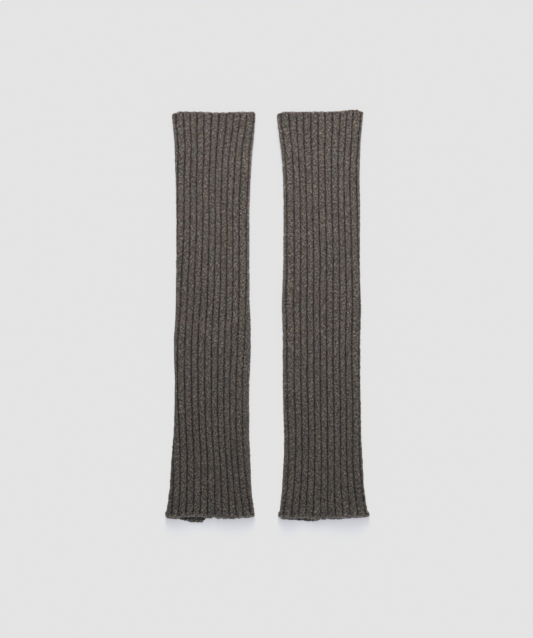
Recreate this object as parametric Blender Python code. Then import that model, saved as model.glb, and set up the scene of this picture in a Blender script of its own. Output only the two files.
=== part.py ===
# A pair of rib-knit leg warmers lying flat on a surface, side by side.
# X runs across the pair, Y from the bottom hems up to the top hems, Z up from the surface.
import math

import bpy
import numpy as np

mm = 0.001

# Driving dimensions, in millimetres.
tube_spacing = 150.2  # between the middle lines of the two leg warmers
hem_to_hem = 558.9  # along a leg warmer's middle line
half_rib_count = 12.35  # ribs across one face, out to the folds
ribs_built = 15  # ribs over the top face and round both folds
rib_depth = 1.4  # of a groove, below the ribs beside it
wall_top = 3.5  # the upper layer, at a rib
wall_bottom = 3.3  # the lower layer, plain where it lies on the surface
wall_fold = 3.6  # where the knit turns over at a side
layers_apart = 0.6  # the least gap between the two layers
fold_spread = 22.0  # how far in from a fold the upper layer still sinks
hem_reach = 26.0  # how far a hem's own curve carries into the cloth
hem_round = 0.7  # the rounding of the bound-off edge
hem_round_length = 1.6
plain_points = 11  # across the underside
groove_fade = 0.85  # how far past a fold's side its grooves still show, as the normal's drop
crease_angle = 50.0  # degrees, above which an edge is shown sharp

# Where a rib's points lie, as shares of its pitch, and how high, as shares of its depth.
rib_profile = {"across": (0.0, 0.14, 0.5, 0.86), "raised": (0.0, 0.86, 1.0, 0.86)}

# One row for each section: how far down from the top hem, where the left and right sides and
# the middle rib lie from the middle line, and the height at the folds. The middle rib wanders
# because the tube has turned a little as it was laid down.
section_columns = ("down", "left", "right", "height", "middle_rib")
left_sections = (
    (0.0, -55.9, 58.6, 8.0, 3.9),
    (6.2, -55.6, 58.5, 8.1, 3.7),
    (18.6, -54.2, 57.6, 8.3, 2.8),
    (39.2, -52.5, 56.0, 8.5, 1.6),
    (66.7, -51.5, 53.2, 8.4, 0.6),
    (101.1, -50.3, 51.6, 8.2, -0.4),
    (142.3, -49.6, 50.3, 8.4, -0.9),
    (204.2, -50.2, 50.7, 8.7, -1.2),
    (259.2, -50.7, 50.7, 8.4, -2.9),
    (286.7, -51.4, 52.0, 8.6, -4.2),
    (310.1, -53.2, 52.2, 8.9, -5.3),
    (334.8, -53.0, 52.0, 8.6, -6.0),
    (369.2, -51.7, 50.3, 8.3, -6.1),
    (410.4, -52.5, 50.1, 8.4, -5.5),
    (444.8, -53.8, 50.2, 8.6, -4.2),
    (479.2, -56.5, 51.6, 8.4, -2.9),
    (513.6, -58.6, 53.1, 8.2, -2.0),
    (534.2, -61.0, 55.6, 8.2, -1.7),
    (547.9, -63.2, 57.3, 8.3, -1.6),
    (554.2, -64.6, 57.6, 8.3, -1.5),
    (558.9, -64.2, 57.2, 8.2, -1.5),
)
right_sections = (
    (0.0, -61.7, 56.7, 8.0, -0.6),
    (6.2, -61.6, 56.0, 8.1, -0.6),
    (18.6, -60.2, 55.2, 8.3, -0.6),
    (39.2, -57.8, 53.2, 8.4, -0.5),
    (66.7, -54.6, 52.2, 8.6, -0.4),
    (94.2, -53.0, 51.6, 8.4, 0.0),
    (123.1, -52.4, 52.4, 8.2, 0.4),
    (204.2, -52.8, 52.0, 8.5, 1.1),
    (245.4, -54.0, 52.9, 8.7, 1.6),
    (268.8, -55.0, 53.8, 8.8, 1.9),
    (307.3, -53.5, 52.8, 8.6, 2.2),
    (369.2, -53.6, 52.5, 8.3, 2.6),
    (410.4, -53.2, 53.4, 8.4, 2.9),
    (444.8, -51.9, 53.8, 8.5, 3.5),
    (472.3, -52.1, 55.4, 8.4, 3.6),
    (513.6, -54.6, 57.8, 8.3, 3.4),
    (534.2, -56.1, 60.2, 8.2, 3.3),
    (547.9, -57.6, 63.2, 8.3, 3.3),
    (554.2, -59.0, 64.9, 8.3, 3.3),
    (558.9, -58.6, 64.4, 8.2, 3.3),
)

# The hem curves, from the left fold to the right: how far the upper and the lower layer run
# out past the hem's straight line, and how far the upper layer is raised off the lower one.
hem_columns = ("across", "upper", "lower", "raised")
left_top_hem = (
    (-55.9, -4.7, -4.7, 0.0),
    (-52.3, -2.1, -2.6, 0.0),
    (-49.5, -0.5, -1.2, 0.0),
    (-45.5, 0.4, -0.6, 0.1),
    (-16.0, 0.1, -0.9, 0.3),
    (5.0, -1.0, -2.0, 0.1),
    (25.0, -0.7, -1.6, 0.2),
    (45.0, 0.0, -1.0, 0.3),
    (55.0, -0.8, -1.2, 0.0),
    (58.6, -2.2, -2.2, 0.0),
)
left_bottom_hem = (
    (-64.6, -3.4, -3.4, 0.0),
    (-60.5, -1.0, -0.8, 0.0),
    (-55.0, 0.5, 0.2, 0.1),
    (-41.3, 0.6, 1.0, 0.4),
    (-35.8, 0.8, 3.3, 0.9),
    (-30.3, 1.2, 5.0, 1.4),
    (-20.6, 1.7, 5.9, 1.6),
    (-14.3, 1.4, 5.1, 1.2),
    (-9.6, 1.1, 1.7, 0.7),
    (-5.5, 0.5, -1.2, 0.3),
    (1.4, -1.4, -2.6, 0.0),
    (9.6, 0.6, -0.8, 0.1),
    (24.8, 1.1, 0.0, 0.3),
    (45.4, -0.5, -1.2, 0.1),
    (53.6, -1.7, -2.0, 0.0),
    (57.6, -4.1, -4.1, 0.0),
)
right_top_hem = (
    (-61.7, -4.8, -4.8, 0.0),
    (-59.5, -2.5, -2.9, 0.0),
    (-56.8, -0.7, -1.2, 0.0),
    (-52.0, 0.0, -0.8, 0.1),
    (0.0, 0.1, -0.9, 0.3),
    (15.0, 0.5, -0.6, 0.2),
    (30.0, 1.2, 0.0, 0.3),
    (40.0, 2.6, 0.8, 0.5),
    (48.0, 2.6, 0.8, 0.3),
    (51.0, 1.5, 0.4, 0.1),
    (56.7, -0.4, -0.4, 0.0),
)
right_bottom_hem = (
    (-59.0, -3.4, -3.4, 0.0),
    (-56.8, -0.6, -0.4, 0.0),
    (-52.0, 0.4, 1.5, 0.2),
    (-37.5, 0.3, 2.2, 0.5),
    (-24.0, 0.7, 3.8, 0.8),
    (-12.0, 2.2, 4.2, 0.6),
    (-6.0, 2.6, 3.0, 0.3),
    (0.0, 1.9, 1.6, 0.1),
    (6.0, 0.3, 1.2, 0.2),
    (20.0, 0.0, 1.8, 0.4),
    (32.0, -1.1, 0.8, 0.3),
    (46.0, -1.8, -0.4, 0.1),
    (58.0, -2.0, -1.5, 0.0),
    (62.0, -2.5, -2.5, 0.0),
    (64.9, -5.1, -5.1, 0.0),
)

leg_warmers = (
    {
        "name": "left_leg_warmer",
        "middle": -tube_spacing / 2,
        "sections": left_sections,
        "top_hem": left_top_hem,
        "bottom_hem": left_bottom_hem,
    },
    {
        "name": "right_leg_warmer",
        "middle": tube_spacing / 2,
        "sections": right_sections,
        "top_hem": right_top_hem,
        "bottom_hem": right_bottom_hem,
    },
)


def columns(names, rows):
    return {name: np.array(values) for name, values in zip(names, zip(*rows))}


def rounded_ends(sections):
    # Adds a section a little way in from each hem, where the edge's rounding begins.
    down = sections["down"]
    near = (hem_round_length, down[-1] - hem_round_length)
    with_ends = np.sort(np.concatenate([down, near]))
    return {name: np.interp(with_ends, down, values) for name, values in sections.items()}


def around(section):
    # Places round the tube, measured along its crests from the middle of the upper face: the
    # points of every rib, then plain points across the underside, back to where it began.
    half_width = (section["right"] - section["left"]) / 2
    middle = (section["right"] + section["left"]) / 2
    radius = section["height"] / 2
    straight = half_width - radius
    pitch = (2 * straight + math.pi * radius) / half_rib_count
    first = section["middle_rib"] - middle - ribs_built / 2 * pitch
    across = np.array(rib_profile["across"])
    ribs = (first + pitch * (np.arange(ribs_built)[:, None] + across)).ravel()
    ribs = np.append(ribs, first + ribs_built * pitch)
    raised = np.append(np.tile(rib_profile["raised"], ribs_built), 0.0)
    girth = 4 * straight + 2 * math.pi * radius
    plain = np.linspace(ribs[-1], ribs[0] + girth, plain_points + 2)[1:-1]
    places = np.concatenate([ribs, plain])
    raised = np.concatenate([raised, np.zeros(plain_points)])
    places = (places + girth / 2) % girth - girth / 2
    # 0 to 1 is the upper face, 1 to 2 the fold and 2 to 3 the underside, on either side.
    far = np.abs(places)
    fold = math.pi * radius
    stage = np.where(
        far <= straight,
        far / straight,
        np.where(far <= straight + fold, 1 + (far - straight) / fold, 3 - (girth / 2 - far) / straight),
    )
    return np.sign(places) * stage, raised


def flattened(stage, half_width, low, high):
    # A flattened ring: straight above and below, with a half circle at each side.
    radius = (high - low) / 2
    straight = half_width - radius
    far, side = np.abs(stage), np.sign(stage)
    turn = np.clip(far - 1, 0, 1) * math.pi
    reach = np.where(far <= 1, far * straight, np.where(far <= 2, straight, (3 - far) * straight))
    x = side * (reach + radius * np.sin(turn))
    z = low + radius * (1 + np.cos(turn))
    return x, z, side * np.sin(turn), np.cos(turn)


def smooth(value):
    value = np.clip(value, 0, 1)
    return value * value * (3 - 2 * value)


def ring(section, top_hem, bottom_hem, at_edge, inner):
    stage, raised = around(section)
    if inner:
        stage, raised = stage[::2], raised[::2]
    half_width = (section["right"] - section["left"]) / 2
    middle = (section["right"] + section["left"]) / 2
    height = section["height"]
    low, high = 0.0, height
    if inner:
        half_width -= wall_fold
        low, high = wall_bottom, height - wall_top
    x, z, out_x, out_z = flattened(stage, half_width, low, high)
    if not inner:
        # Grooves and the rounded edge go in along the surface's own direction, and both
        # fade out round the folds, so the underside stays flat.
        above = smooth((out_z + groove_fade) / groove_fade)
        inset = above * (rib_depth * (1 - raised) + hem_round * at_edge)
        x = x - out_x * inset
        z = z - out_z * inset
    # Between the folds the upper layer sinks until it nearly lies on the lower one.
    from_fold = half_width - np.abs(x)
    lower_layer = smooth(np.abs(stage) - 1)
    sunk = (height - wall_top - wall_bottom - layers_apart) * smooth(from_fold / fold_spread)
    x = x + middle
    down = section["down"]
    near_top = smooth(1 - down / hem_reach)
    near_bottom = smooth(1 - (hem_to_hem - down) / hem_reach)
    y = -down
    for hem, near, way in ((top_hem, near_top, 1), (bottom_hem, near_bottom, -1)):
        upper = np.interp(x, hem["across"], hem["upper"])
        lower = np.interp(x, hem["across"], hem["lower"])
        y = y + way * near * (upper * (1 - lower_layer) + lower * lower_layer)
        sunk = sunk - near * np.interp(x, hem["across"], hem["raised"])
    z = z - sunk * (1 - lower_layer)
    return np.column_stack([x, y, z])


def tube_mesh(spec):
    sections = rounded_ends(columns(section_columns, spec["sections"]))
    top_hem = columns(hem_columns, spec["top_hem"])
    bottom_hem = columns(hem_columns, spec["bottom_hem"])
    count = len(sections["down"])
    outer, inner = [], []
    for i in range(count):
        section = {name: values[i] for name, values in sections.items()}
        at_edge = 1.0 if i in (0, count - 1) else 0.0
        outer.append(ring(section, top_hem, bottom_hem, at_edge, inner=False))
        inner.append(ring(section, top_hem, bottom_hem, at_edge, inner=True))
    outer, inner = np.array(outer), np.array(inner)
    points = np.concatenate([outer.reshape(-1, 3), inner.reshape(-1, 3)]) * mm
    outer_id = np.arange(outer.shape[0] * outer.shape[1]).reshape(outer.shape[:2])
    inner_id = outer_id.size + np.arange(inner.shape[0] * inner.shape[1]).reshape(inner.shape[:2])
    faces = lofted(outer_id) + [face[::-1] for face in lofted(inner_id)]
    faces += hem_faces(outer_id[0], inner_id[0])
    faces += [face[::-1] for face in hem_faces(outer_id[-1], inner_id[-1])]
    mesh = bpy.data.meshes.new(spec["name"])
    mesh.from_pydata(points.tolist(), [], faces)
    mesh.shade_smooth()
    mesh.set_sharp_from_angle(angle=math.radians(crease_angle))
    return mesh


def lofted(ids):
    nxt = np.roll(ids, -1, axis=1)
    corners = np.stack([ids[:-1], ids[1:], nxt[1:], nxt[:-1]], axis=-1)
    return corners.reshape(-1, 4).tolist()


def hem_faces(outer_ids, inner_ids):
    # The outer ring has two points for each one of the inner ring.
    a, b, c = outer_ids[::2], outer_ids[1::2], np.roll(outer_ids[::2], -1)
    d, e = np.roll(inner_ids, -1), inner_ids
    near, far = np.stack([a, b, e], axis=-1), np.stack([b, c, d, e], axis=-1)
    return near.tolist() + far.tolist()


def wool():
    material = bpy.data.materials.new("heathered wool")
    material.use_nodes = True
    shader = material.node_tree.nodes["Principled BSDF"]
    shader.inputs["Base Color"].default_value = (0.085, 0.074, 0.066, 1.0)
    shader.inputs["Roughness"].default_value = 0.92
    shader.inputs["Metallic"].default_value = 0.0
    return material


def clear_scene():
    for old in list(bpy.data.objects):
        bpy.data.objects.remove(old)


def main():
    clear_scene()
    collection = bpy.data.collections.new("pair_of_leg_warmers")
    bpy.context.scene.collection.children.link(collection)
    meshes = [tube_mesh(spec) for spec in leg_warmers]
    # The origin is below the middle of the pair's box.
    lows, highs = [], []
    for spec, mesh in zip(leg_warmers, meshes):
        points = np.array([v.co for v in mesh.vertices]) + (spec["middle"] * mm, 0, 0)
        lows.append(points.min(axis=0))
        highs.append(points.max(axis=0))
    centre = (np.min(lows, axis=0) + np.max(highs, axis=0)) / 2
    for spec, mesh in zip(leg_warmers, meshes):
        tube = bpy.data.objects.new(spec["name"], mesh)
        tube.location = (spec["middle"] * mm - centre[0], -centre[1], 0)
        mesh.materials.append(wool())
        collection.objects.link(tube)


main()
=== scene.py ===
import math

import bpy
import numpy as np
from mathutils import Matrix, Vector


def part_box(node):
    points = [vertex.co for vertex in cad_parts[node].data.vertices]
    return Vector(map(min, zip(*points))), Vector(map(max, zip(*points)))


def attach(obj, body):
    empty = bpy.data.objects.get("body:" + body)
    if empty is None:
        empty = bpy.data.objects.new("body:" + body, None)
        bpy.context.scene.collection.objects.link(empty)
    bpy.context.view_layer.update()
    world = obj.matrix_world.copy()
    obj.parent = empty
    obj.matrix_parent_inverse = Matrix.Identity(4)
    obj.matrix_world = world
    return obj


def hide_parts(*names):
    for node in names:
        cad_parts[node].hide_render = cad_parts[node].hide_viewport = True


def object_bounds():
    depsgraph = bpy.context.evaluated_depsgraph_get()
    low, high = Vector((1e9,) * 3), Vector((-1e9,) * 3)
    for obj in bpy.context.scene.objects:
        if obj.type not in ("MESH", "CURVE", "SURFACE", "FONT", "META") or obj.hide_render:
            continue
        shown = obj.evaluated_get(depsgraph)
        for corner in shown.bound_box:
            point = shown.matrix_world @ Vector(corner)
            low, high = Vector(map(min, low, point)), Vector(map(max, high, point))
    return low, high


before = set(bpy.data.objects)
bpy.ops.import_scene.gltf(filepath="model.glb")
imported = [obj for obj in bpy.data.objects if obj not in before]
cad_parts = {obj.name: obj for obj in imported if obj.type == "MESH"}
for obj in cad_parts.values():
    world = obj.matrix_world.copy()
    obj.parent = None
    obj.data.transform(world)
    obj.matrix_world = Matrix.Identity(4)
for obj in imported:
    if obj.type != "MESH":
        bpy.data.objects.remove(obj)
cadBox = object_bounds()
mm = 0.001

# One row for each section of a tube, in mm: how far down from the top hem, where its left and
# right sides lie from its own middle line, and its height at the folds.
sectionColumns = ("down", "left", "right", "height")
# One row for each turn of the ribs: how far down, and where seven grooves or ribs lie.
ribColumns = (
    "down", "outerLeft", "nextLeft", "innerLeft", "middle", "innerRight", "nextRight", "outerRight"
)
ribsDrawn = (-5.5, -4.5, -2.5, 0.0, 2.5, 4.5, 5.5)  # which they are, counted from the middle rib
# One row for each turn of a hem, from the left fold to the right: how far the upper and the
# lower layer run out past the hem's straight line, and how far the upper one is raised.
hemColumns = ("across", "upper", "lower", "raised")
# And in "creases" one row for each soft ridge (raised) or trough (sunk) of the upper layer: how
# far across and down its middle lies, half its length, half its width, its turn from the
# tube's length in degrees, and its height.

leftTube = {
    "node": "left_leg_warmer",
    "name": "left",
    "seed": 11,
    "seamRib": 5,  # the rib beside the joining seam, counted from the middle rib
    "solidLeft": -64.6,  # where the solid's own left side and top lie, from the same middle
    "solidTop": 0.4,
    "sections": (
        (0, -55.9, 58.6, 8), (6.2, -55.6, 58.5, 8.1), (18.6, -54.2, 57.6, 8.3),
        (39.2, -52.5, 56, 8.5), (66.7, -51.5, 53.2, 8.4), (101.1, -50.3, 51.6, 8.2),
        (142.3, -49.6, 50.3, 8.4), (204.2, -50.2, 50.7, 8.7), (259.2, -50.7, 50.7, 8.4),
        (286.7, -51.4, 52, 8.6), (310.1, -53.2, 52.2, 8.9), (334.8, -53, 52, 8.6),
        (369.2, -51.7, 50.3, 8.3), (410.4, -52.5, 50.1, 8.4), (444.8, -53.8, 50.2, 8.6),
        (479.2, -56.5, 51.6, 8.4), (513.6, -58.6, 53.1, 8.2), (534.2, -61.3, 55.3, 8.2),
        (547.9, -63.1, 56.7, 8.3), (551.5, -63.4, 57, 8.3), (554.5, -65.6, 57.9, 8.3),
        (558.9, -65.4, 57.8, 8.2),
    ),
    "ribs": (
        (0, -50.3, -40.4, -21.5, 3.9, 29.4, 47, 56.1),
        (8.9, -50.3, -40, -21.8, 3.6, 29.1, 46.5, 56.2),
        (25.4, -49.1, -39, -21.9, 2.8, 27.2, 44.2, 54.4),
        (46.1, -47.2, -37.8, -20.9, 1.6, 24.2, 40.9, 50.2),
        (66.7, -47.4, -37.7, -21, 0.4, 22.2, 39.6, 48.8),
        (94.2, -48.2, -39.6, -22.5, -0.4, 20.7, 38.4, 48.3),
        (121.7, -48.4, -39.3, -21.8, -1, 19.7, 36.3, 46.6),
        (156.1, -49.3, -39.5, -22, -0.3, 19.8, 36, 45.2),
        (190.4, -51.7, -40.4, -23.1, -0.6, 19.3, 36.8, 45),
        (224.8, -54.2, -42.3, -25, -1.9, 19.2, 36.6, 45.5),
        (259.2, -55.6, -43.4, -25.5, -2.9, 18.9, 36, 44.3),
        (293.6, -57.3, -46.1, -28.5, -5, 17.2, 35.5, 43.4),
        (327.9, -58.8, -48.5, -29.2, -6.5, 16, 34, 42.2),
        (362.3, -58.7, -48.7, -28.9, -6.1, 15.6, 32.3, 39.7),
        (396.7, -57.1, -47.9, -29, -6.2, 15.1, 32.2, 39.5),
        (431.1, -55.6, -46, -27.8, -5.4, 15.9, 32, 39.7),
        (465.4, -54.8, -44.9, -25.6, -3.3, 17.6, 33.4, 41.1),
        (492.9, -54.1, -44.8, -25.1, -2, 19.5, 35.8, 43.6),
        (520.4, -54.1, -44.9, -25.3, -1.7, 21.2, 37.6, 46),
        (541.1, -55.8, -45.9, -26.4, -1.8, 22, 40.6, 49.5),
        (558.9, -56.9, -46.9, -27.8, -2, 23.1, 42.7, 51.8),
    ),
    "topHem": (
        (-55.9, -4.5, -4.5, 0), (-52.3, -2.3, -2.7, 0), (-49, -0.7, -1.3, 0),
        (-45.5, 0.4, -0.6, 0.1), (-16, 0.1, -0.9, 0.3), (5, -1, -2, 0.1),
        (25, -0.7, -1.6, 0.2), (45, 0, -1, 0.3), (56, -0.2, -1, 0),
        (58.6, -1.2, -1.2, 0),
    ),
    "bottomHem": (
        (-65.4, -3.8, -3.8, -1.2), (-61.5, -0.8, -0.6, -0.6), (-55, 0.2, 0.4, 0.2),
        (-47, -0.4, 1.4, 0.5), (-41.3, -1.5, 2.3, 0.6), (-35.8, -2.1, 4, 0.3),
        (-30.3, -2.1, 5.1, -0.1), (-20.6, -1.8, 5.8, -0.5), (-14, -1.4, 5.3, -0.5),
        (-11, -0.6, 2.2, -0.6), (-6.5, 0, -1.2, -0.7), (1.4, -1.7, -2.6, -0.9),
        (9.6, 0.2, -0.8, -0.3), (24.8, 0.4, -0.2, 0.5), (34, -0.6, -1, 0.9),
        (45.4, -1.1, -1.6, 0.6), (53.6, -2, -2.3, -1.2), (58.1, -3.6, -3.6, -2.4),
    ),
    "creases": (
        (30, 112, 34, 11, 12, -0.45), (-24, 66, 16, 12, 20, 0.4),
        (-14, 128, 30, 14, -14, 0.3), (-6, 226, 20, 15, 40, -0.35),
        (10, 268, 12, 26, 8, 0.25), (-8, 292, 13, 30, -6, -0.25),
        (26, 366, 30, 12, 8, -0.3), (-22, 384, 34, 13, -10, 0.25),
        (24, 448, 26, 12, 4, -0.3), (-30, 500, 22, 12, 16, 0.25),
        (28, 520, 18, 12, -12, -0.25),
    ),
}

rightTube = {
    "node": "right_leg_warmer",
    "name": "right",
    "seed": 29,
    "seamRib": -5,
    "solidLeft": -61.7,
    "solidTop": 2.6,
    "sections": (
        (0, -61.7, 56.7, 8), (6.2, -61.6, 56, 8.1), (18.6, -60.2, 55.2, 8.3),
        (39.2, -57.8, 53.2, 8.4), (66.7, -54.6, 52.2, 8.6), (94.2, -53, 51.6, 8.4),
        (123.1, -52.4, 52.4, 8.2), (204.2, -52.8, 52, 8.5), (245.4, -54, 52.9, 8.7),
        (268.8, -55, 53.8, 8.8), (307.3, -53.5, 52.8, 8.6), (369.2, -53.6, 52.5, 8.3),
        (410.4, -53.2, 53.4, 8.4), (444.8, -51.9, 53.8, 8.5), (472.3, -52.1, 55.4, 8.4),
        (513.6, -54.6, 57.5, 8.3), (534.2, -56.2, 60.1, 8.2), (543, -57.4, 61.6, 8.2),
        (549, -57.6, 62.3, 8.3), (552.5, -57.9, 63, 8.3), (555.5, -60.2, 65.4, 8.3),
        (558.9, -60.1, 65.6, 8.2),
    ),
    "ribs": (
        (0, -55.3, -45.2, -25, -0.8, 25.3, 43.4, 53.4),
        (8.9, -55.1, -44.7, -24.8, -0.7, 24.8, 42.2, 52.8),
        (25.4, -53.6, -43.5, -25.1, -0.3, 24.2, 40.9, 51.7),
        (46.1, -50.5, -41.3, -24.3, -0.9, 22.7, 40.3, 50),
        (66.7, -48.7, -39.9, -23.2, -1.1, 22.1, 38.7, 47.6),
        (94.2, -48, -38.7, -22.1, -0.3, 22.3, 38.2, 47.3),
        (121.7, -47.4, -38.7, -21.6, -0.1, 22.3, 38.8, 48),
        (156.1, -46.8, -38, -20.9, 0.9, 22.9, 39.7, 49.1),
        (190.4, -47.4, -37.6, -20.2, 1.8, 24.2, 40.6, 50.1),
        (224.8, -47.5, -38.1, -20, 1.7, 24.4, 41.1, 51.5),
        (259.2, -49, -39.2, -20.7, 1.4, 24.7, 42, 52.3),
        (293.6, -47.3, -38, -20.7, 2, 24.2, 41.2, 51.9),
        (327.9, -47, -37.5, -20.2, 2.5, 23.9, 40.4, 51.4),
        (362.3, -47.2, -38.4, -20.5, 2.4, 24.1, 41.3, 51.2),
        (396.7, -46.7, -37.7, -19.2, 2.8, 25.1, 42.6, 51.8),
        (431.1, -45.1, -36.3, -18.7, 3.2, 25.2, 42.4, 52),
        (465.4, -44.2, -35.9, -18.5, 3.3, 25.9, 41.6, 51.5),
        (492.9, -45.4, -36.9, -18.8, 3.8, 25.7, 42.5, 52.9),
        (520.4, -47, -38.5, -20.2, 3, 26.7, 44.9, 55.6),
        (541.1, -50.5, -40.4, -21.6, 3.5, 27.7, 47.9, 58.5),
        (558.9, -52.4, -41.5, -22.9, 3.1, 28.7, 50.2, 60.5),
    ),
    "topHem": (
        (-61.7, -4.8, -4.8, 0), (-59.5, -2.7, -3, 0), (-56, -0.9, -1.3, 0),
        (-52, 0, -0.8, 0.1), (0, 0.1, -0.9, 0.3), (15, 0.5, -0.6, 0.2),
        (30, 1.2, 0, 0.3), (40, 2.6, 0.8, 0.5), (48, 2.6, 0.8, 0.3),
        (51, 1.5, 0.4, 0.1), (56.7, -0.4, -0.4, 0),
    ),
    "bottomHem": (
        (-60, -4.4, -4.4, -2.6), (-56.4, -0.4, 0, -1.8), (-52, 0.3, 1.7, 0.1),
        (-45, 0.2, 2, 0.9), (-37.5, -0.1, 2.4, 0.1), (-30, 0, 2.8, -0.9),
        (-24, 0.2, 3.5, -1.7), (-13, 1.6, 4.3, -1.5), (-7.2, 2.5, 2.8, -1.3),
        (-1.5, 1.8, 1.5, -0.9), (6, 0.3, 1.2, -0.5), (20, 0, 1.8, 0.6),
        (32, -1.1, 0.8, 1.5), (46, -1.9, -0.5, 1.7), (54, -1.8, -1, 0.9),
        (58, -2, -1.5, -0.4), (63, -2.8, -2.8, -1.8), (65.6, -4.3, -4.3, -2.4),
    ),
    "creases": (
        (-10, 44, 40, 10, 32, 0.35), (24, 26, 18, 12, -20, -0.25),
        (30, 166, 26, 12, -10, -0.35), (-18, 170, 30, 14, 14, 0.3),
        (-26, 246, 9, 18, -8, -0.4), (22, 250, 9, 18, 6, -0.35),
        (-20, 276, 12, 20, 12, 0.45), (14, 332, 24, 12, 28, -0.3),
        (-6, 386, 26, 13, -18, -0.3), (20, 432, 30, 12, 10, 0.25),
        (30, 470, 20, 11, -6, -0.3), (-26, 516, 24, 12, 10, 0.25),
    ),
}

knit = {
    "seed": 1,
    "ribs": 24,  # round the whole tube, each of two knit columns and a purl groove
    "upperRibs": 15,  # over the upper layer and round both folds, at full detail
    "waleEnds": (0.0, 0.195, 0.5, 0.805, 1.0),  # of a rib: half a purl, two knit, half a purl
    "seamRibExtra": 1.15,  # the added width of the rib beside the seam
    "courses": 240,
    # Over what length each table's lines are eased.
    "eased": {"sections": 3.5, "ribs": 12.0, "topHem": 1.2, "bottomHem": 1.2},
    "wallTop": 3.5,
    "wallBottom": 3.3,
    "wallFold": 3.6,
    "layersApart": 0.9,
    "leastGap": 0.2,
    "foldSpread": 22.0,  # how far in from a fold the upper layer has sunk onto the lower
    "creaseSpread": 14.0,  # and how far in the creases are at their full height
    "fuller": 0.4,  # how far the stitches stand out at the folds
    "underRelief": 0.45,  # of the full relief, where the knit is pressed flat below
    "pressFrom": 0.375,  # how far round a fold that starts
    "hemReach": 26.0,
    "edgeBack": 0.55,  # how far the knit stops short of a hem's line, for its loops
    "topScallop": 0.42,  # how far a rib runs out past the grooves at a hem
    "bottomScallop": 0.65,
    "scallopReach": 9.0,
    "wander": 0.34,  # how far a rib strays sideways, and over what length
    "wanderLength": 34.0,
    "wanderStep": 2.0,
    "edgeIn": 1.2,  # from the hem's edge to the first course
    "calmCourses": 2.5,  # how many by each hem lie evenly
    "lean": 0.9,  # how far a stitch's legs climb from its middle to its sides, in courses
    "drift": 0.22,  # how far a course lies off its place, and over what length
    "driftLength": 7.0,
    "unevenDepths": (0.5, 2.0),  # on a rib and in a groove
    "unevenHigh": (0.14, 0.55),  # how far a stitch is off its height there
    "grooveFrom": 1.0,  # the depth past which each row of a stitch has a height of its own
    "unevenDown": 0.12,
    "unevenWide": 0.028,  # in ribs
    "unevenAgain": 0.6,  # the share of a second chance in that
    "swayAt": (0.0, 0.08, 0.16, 0.3, 0.5),  # how far a place is from the groove, in ribs
    "sway": (0.3, 1.1, 1.0, 0.4, 0.3),  # and how freely it sways sideways
    "unevenFold": 0.26,  # of a whole course, where it turns over a fold
    "foldRibs": (5.0, 5.6),  # how many ribs off the middle a fold begins, and is past
    "foldFade": 0.6,
    "underRibs": 7.6,  # and how many off the middle the two settings below end
    "underFade": 0.4,
    "openFold": 0.45,  # how much shallower the grooves are where they are stretched round
    "lessShadePastFold": 0.50,  # and how much of their painted shade the grooves lose past the folds
    "flatDepth": 0.35,  # the one depth of ribs and grooves where they are drawn flat
    # How far the bound-off edge is felt and how flat it draws the grooves, and above it the
    # same of the hem's flare. The cast-on edge leaves them open.
    "flattened": ((12.0, 0.6), (170.0, 0.16)),
    "endRows": (0.0, 0.45),  # the two rows that turn each edge in: how far from its end
    "endTurned": (1.05, 0.38),  # and how much deeper than the first course
    "lipOut": 0.25,
    "lipDeep": (1.6, 3.2),  # below the first course, and at most
    "insideRelief": 0.8,  # how deep the valleys are
    "insideFull": 8.0,  # how far from a hem they are so deep, and how soon they fade out then
    "insideFade": 20.0,
    "insidePlaces": 8,  # round each rib
    "insideWorked": 11,  # half courses by each hem, of which the first is this far in
    "insideFirst": 0.4,
    "insidePlain": (14.5, 18.0, 24.0),  # how far in the next rows are
    "insideMiddle": (40.0, 8),  # how far in the middle ones begin, and how many they are
    "insideCourse": (0.15, 0.25),  # how far every other row is sunk, and more in the valleys
    "insideWales": 200,  # where the inside's columns begin on the stitch map
    "fuzzHighlightFrom": 0.25,  # how far sideways the knit has to face, to take the painted highlight of its fuzz
    "fuzzHighlightFade": 0.55,
    "fuzzHighlightOpen": 0.1,  # how much less painted groove shade it has there
    # the share of painted highlight on the inside and the lips, which lifts their shade
    "fuzzHighlightInside": 0.4,
    "hemHighlight": 0.7,  # how strong the painted highlight along the bottom hem is
    "hemHighlightReach": 9.0,
}

# Places across one rib of the upper layer, from groove to groove: share of the rib, how deep
# below the crest, how much deeper between two courses, and the height of the stitch's lean.
ribPlaces = {
    "share": (0.0, 0.085, 0.17, 0.29, 0.40, 0.50, 0.60, 0.71, 0.83, 0.915),
    "deep": (2.90, 2.10, 0.42, 0.42, 0.05, 0.55, 0.05, 0.42, 0.42, 2.10),
    "between": (0.05, 0.30, 0.60, 0.35, 0.60, 0.25, 0.60, 0.35, 0.60, 0.30),
    "lean": (1.0, 1.0, 0.55, 0.0, 0.6, 1.0, 0.6, 0.0, 0.55, 1.0),
}
underPlaces = {
    "share": (0.0, 0.27, 0.50, 0.73),
    "deep": (2.60, 0.10, 0.45, 0.10),
    "between": (0.10, 0.40, 0.20, 0.40),
    "lean": (1.0, 0.3, 1.0, 0.3),
}


def smooth(value):
    # A soft step: 0 up to 0, 1 from 1 on, and 3 x squared - 2 x cubed between.
    value = np.clip(value, 0, 1)
    return value * value * (3 - 2 * value)


def softLines(names, rows, reach):
    # Runs a soft line through each column: straight between the rows, then averaged as far as
    # reach to either side, less the further off. Returns the places along it and the lines.
    table = dict(zip(names, np.array(rows).T))
    step = 0.25
    start, stop = table[names[0]][0], table[names[0]][-1]
    along = np.linspace(start, stop, int(round((stop - start) / step)) + 1)
    half = int(reach / step)
    weights = np.hanning(2 * half + 3)[1:-1]
    weights = weights / weights.sum()
    lines = {}
    for name in names[1:]:
        line = np.interp(along, table[names[0]], table[name])
        padded = np.pad(line, half, mode="reflect", reflect_type="odd")
        lines[name] = np.convolve(padded, weights, mode="valid")
    return along, lines


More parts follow.
